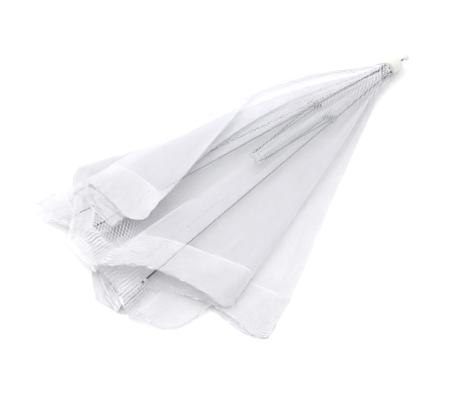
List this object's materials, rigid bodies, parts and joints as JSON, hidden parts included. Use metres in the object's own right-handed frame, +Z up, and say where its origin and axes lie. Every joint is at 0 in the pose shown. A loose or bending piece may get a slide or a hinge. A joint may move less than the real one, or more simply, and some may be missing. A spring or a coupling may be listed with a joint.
{
  "type": "collapsed mesh food cover",
  "caption": "Folding umbrella-type mesh cover, closed and lying on its side, with wire ribs and struts, a sliding runner, a pull cord with a bead, and sheer mesh gores with doubled hem bands.",
  "frame": {"origin": "centre of the bottom of the bounding box, on the surface that the folded cover lies on", "axes": "+X along the closed shaft from the open end to the pull bead, +Z up from the surface, +Y across"},
  "size_m": [0.4117, 0.2628, 0.0348],
  "materials": {
    "wire": "dark drawn wire",
    "bright_metal": "zinc-plated",
    "cap": "satin warm white",
    "clear_plastic": "clear, slightly milky",
    "tube": "translucent white",
    "thread": "white twisted thread and cord",
    "bead": "translucent grey",
    "mesh": "sheer white polyester mesh",
    "hem": "sheer white polyester mesh, doubled"
  },
  "bodies": {
    "root": {"top_cap": "cap", "hub_notch_ring": "clear_plastic", "hub_ring_wire": "bright_metal", "apex_binding": "thread"},
    "runner": {"runner_notch_ring": "clear_plastic", "runner_ring_wire": "bright_metal", "runner_tube": "tube", "cord_knot": "thread", "pull_cord": "thread", "cord_crimp": "bright_metal", "pull_bead": "bead"},
    "rib_a": {"rib_a": "wire", "rib_clip_a": "bright_metal", "clip_rivet_a": "bright_metal", "corner_tie_a": "thread"},
    "strut_a": {"strut_a": "wire"},
    "rib_b": {"rib_b": "wire", "rib_clip_b": "bright_metal", "clip_rivet_b": "bright_metal", "corner_tie_b": "thread"},
    "strut_b": {"strut_b": "wire"},
    "rib_c": {"rib_c": "wire", "rib_clip_c": "bright_metal", "clip_rivet_c": "bright_metal", "corner_tie_c": "thread"},
    "strut_c": {"strut_c": "wire"},
    "rib_d": {"rib_d": "wire", "rib_clip_d": "bright_metal", "clip_rivet_d": "bright_metal", "corner_tie_d": "thread"},
    "strut_d": {"strut_d": "wire"},
    "gore_ab_half_a": {"gore_ab_half_a": "mesh", "hem_ab_half_a": "hem"},
    "gore_ab_half_b": {"gore_ab_half_b": "mesh", "hem_ab_half_b": "hem"},
    "gore_bc_half_b": {"gore_bc_half_b": "mesh", "hem_bc_half_b": "hem"},
    "gore_bc_half_c": {"gore_bc_half_c": "mesh", "hem_bc_half_c": "hem"},
    "gore_cd_half_c": {"gore_cd_half_c": "mesh", "hem_cd_half_c": "hem"},
    "gore_cd_half_d": {"gore_cd_half_d": "mesh", "hem_cd_half_d": "hem"},
    "gore_da_half_d": {"gore_da_half_d": "mesh", "hem_da_half_d": "hem"},
    "gore_da_half_a": {"gore_da_half_a": "mesh", "hem_da_half_a": "hem"}
  },
  "joints": [
    {"name": "rib_a_swing", "type": "hinge", "parent": "root", "child": "rib_a", "pos_m": [0.17405, 0.02419, 0.00672], "axis": [-0.0787, -0.3702, -0.9256], "range_deg": [0, 51.1]},
    {"name": "rib_b_swing", "type": "hinge", "parent": "root", "child": "rib_b", "pos_m": [0.17424, 0.02108, 0.01338], "axis": [0.0877, 0.9529, -0.2902], "range_deg": [0, 58.88]},
    {"name": "rib_c_swing", "type": "hinge", "parent": "root", "child": "rib_c", "pos_m": [0.17415, 0.01441, 0.01028], "axis": [-0.0331, 0.3734, 0.9271], "range_deg": [0, 55.55]},
    {"name": "rib_d_swing", "type": "hinge", "parent": "root", "child": "rib_d", "pos_m": [0.17396, 0.01752, 0.00362], "axis": [0.0326, -0.944, 0.3283], "range_deg": [0, 57.61]},
    {"name": "strut_a_swing", "type": "hinge", "parent": "rib_a", "child": "strut_a", "pos_m": [0.08778, 0.03544, 0.00955], "axis": [-0.0156, 0.2931, 0.956], "range_deg": [0, 98.82]},
    {"name": "strut_b_swing", "type": "hinge", "parent": "rib_b", "child": "strut_b", "pos_m": [0.08753, 0.02858, 0.01181], "axis": [0.1103, -0.8826, 0.457], "range_deg": [0, 113.06]},
    {"name": "strut_c_swing", "type": "hinge", "parent": "rib_c", "child": "strut_c", "pos_m": [0.08726, 0.00921, 0.00927], "axis": [-0.0813, -0.2748, -0.9581], "range_deg": [0, 107.38]},
    {"name": "strut_d_swing", "type": "hinge", "parent": "rib_d", "child": "strut_d", "pos_m": [0.08698, 0.01544, 0.00625], "axis": [0.0129, 0.9285, -0.3711], "range_deg": [0, 111.8]},
    {"name": "gore_ab_half_a_spread", "type": "hinge", "parent": "rib_a", "child": "gore_ab_half_a", "pos_m": [0.1741, 0.0193, 0.0085], "axis": [-0.7554, 0.5396, 0.3718], "range_deg": [0, 69.51], "deforming": ["gore_ab_half_a", "hem_ab_half_a"]},
    {"name": "gore_ab_half_b_spread", "type": "hinge", "parent": "rib_b", "child": "gore_ab_half_b", "pos_m": [0.1741, 0.0193, 0.0085], "axis": [-0.798, -0.2743, -0.5366], "range_deg": [0, 56.62], "deforming": ["gore_ab_half_b", "hem_ab_half_b"]},
    {"name": "gore_bc_half_b_spread", "type": "hinge", "parent": "rib_b", "child": "gore_bc_half_b", "pos_m": [0.1741, 0.0193, 0.0085], "axis": [-0.1125, -0.1797, 0.9773], "range_deg": [0, 13.84], "deforming": ["gore_bc_half_b", "hem_bc_half_b"]},
    {"name": "gore_bc_half_c_spread", "type": "hinge", "parent": "rib_c", "child": "gore_bc_half_c", "pos_m": [0.1741, 0.0193, 0.0085], "axis": [-0.9888, 0.1194, 0.089], "range_deg": [0, 136.96], "deforming": ["gore_bc_half_c", "hem_bc_half_c"]},
    {"name": "gore_cd_half_c_spread", "type": "hinge", "parent": "rib_c", "child": "gore_cd_half_c", "pos_m": [0.1741, 0.0193, 0.0085], "axis": [0.9906, -0.0555, 0.125], "range_deg": [0, 97.28], "deforming": ["gore_cd_half_c", "hem_cd_half_c"]},
    {"name": "gore_cd_half_d_spread", "type": "hinge", "parent": "rib_d", "child": "gore_cd_half_d", "pos_m": [0.1741, 0.0193, 0.0085], "axis": [-0.9654, 0.098, 0.2415], "range_deg": [0, 50.19], "deforming": ["gore_cd_half_d", "hem_cd_half_d"]},
    {"name": "gore_da_half_d_spread", "type": "hinge", "parent": "rib_d", "child": "gore_da_half_d", "pos_m": [0.1741, 0.0193, 0.0085], "axis": [0.4008, 0.1238, -0.9078], "range_deg": [0, 17.5], "deforming": ["gore_da_half_d", "hem_da_half_d"]},
    {"name": "gore_da_half_a_spread", "type": "hinge", "parent": "rib_a", "child": "gore_da_half_a", "pos_m": [0.1741, 0.0193, 0.0085], "axis": [-0.9941, -0.0896, -0.0617], "range_deg": [0, 126.99], "deforming": ["gore_da_half_a", "hem_da_half_a"]},
    {"name": "runner_slide", "type": "slide", "parent": "root", "child": "runner", "axis": [0.9996, 0, -0.0279], "range_m": [0, 0.07663]}
  ],
  "couplings": [
    {"joint": "rib_a_swing", "follows": "rib_b_swing", "ratio": 0.86787},
    {"joint": "rib_c_swing", "follows": "rib_b_swing", "ratio": 0.94344},
    {"joint": "rib_d_swing", "follows": "rib_b_swing", "ratio": 0.97843},
    {"joint": "strut_a_swing", "follows": "rib_b_swing", "ratio": 1.6783},
    {"joint": "strut_b_swing", "follows": "rib_b_swing", "ratio": 1.9202},
    {"joint": "strut_c_swing", "follows": "rib_b_swing", "ratio": 1.8237},
    {"joint": "strut_d_swing", "follows": "rib_b_swing", "ratio": 1.8988},
    {"joint": "gore_ab_half_a_spread", "follows": "rib_b_swing", "ratio": 1.1805},
    {"joint": "gore_ab_half_b_spread", "follows": "rib_b_swing", "ratio": 0.96162},
    {"joint": "gore_bc_half_b_spread", "follows": "rib_b_swing", "ratio": 0.23505},
    {"joint": "gore_bc_half_c_spread", "follows": "rib_b_swing", "ratio": 2.3261},
    {"joint": "gore_cd_half_c_spread", "follows": "rib_b_swing", "ratio": 1.6522},
    {"joint": "gore_cd_half_d_spread", "follows": "rib_b_swing", "ratio": 0.85241},
    {"joint": "gore_da_half_d_spread", "follows": "rib_b_swing", "ratio": 0.29721},
    {"joint": "gore_da_half_a_spread", "follows": "rib_b_swing", "ratio": 2.1568},
    {"joint": "runner_slide", "follows": "rib_b_swing", "m_per_rad": 0.074568}
  ]
}
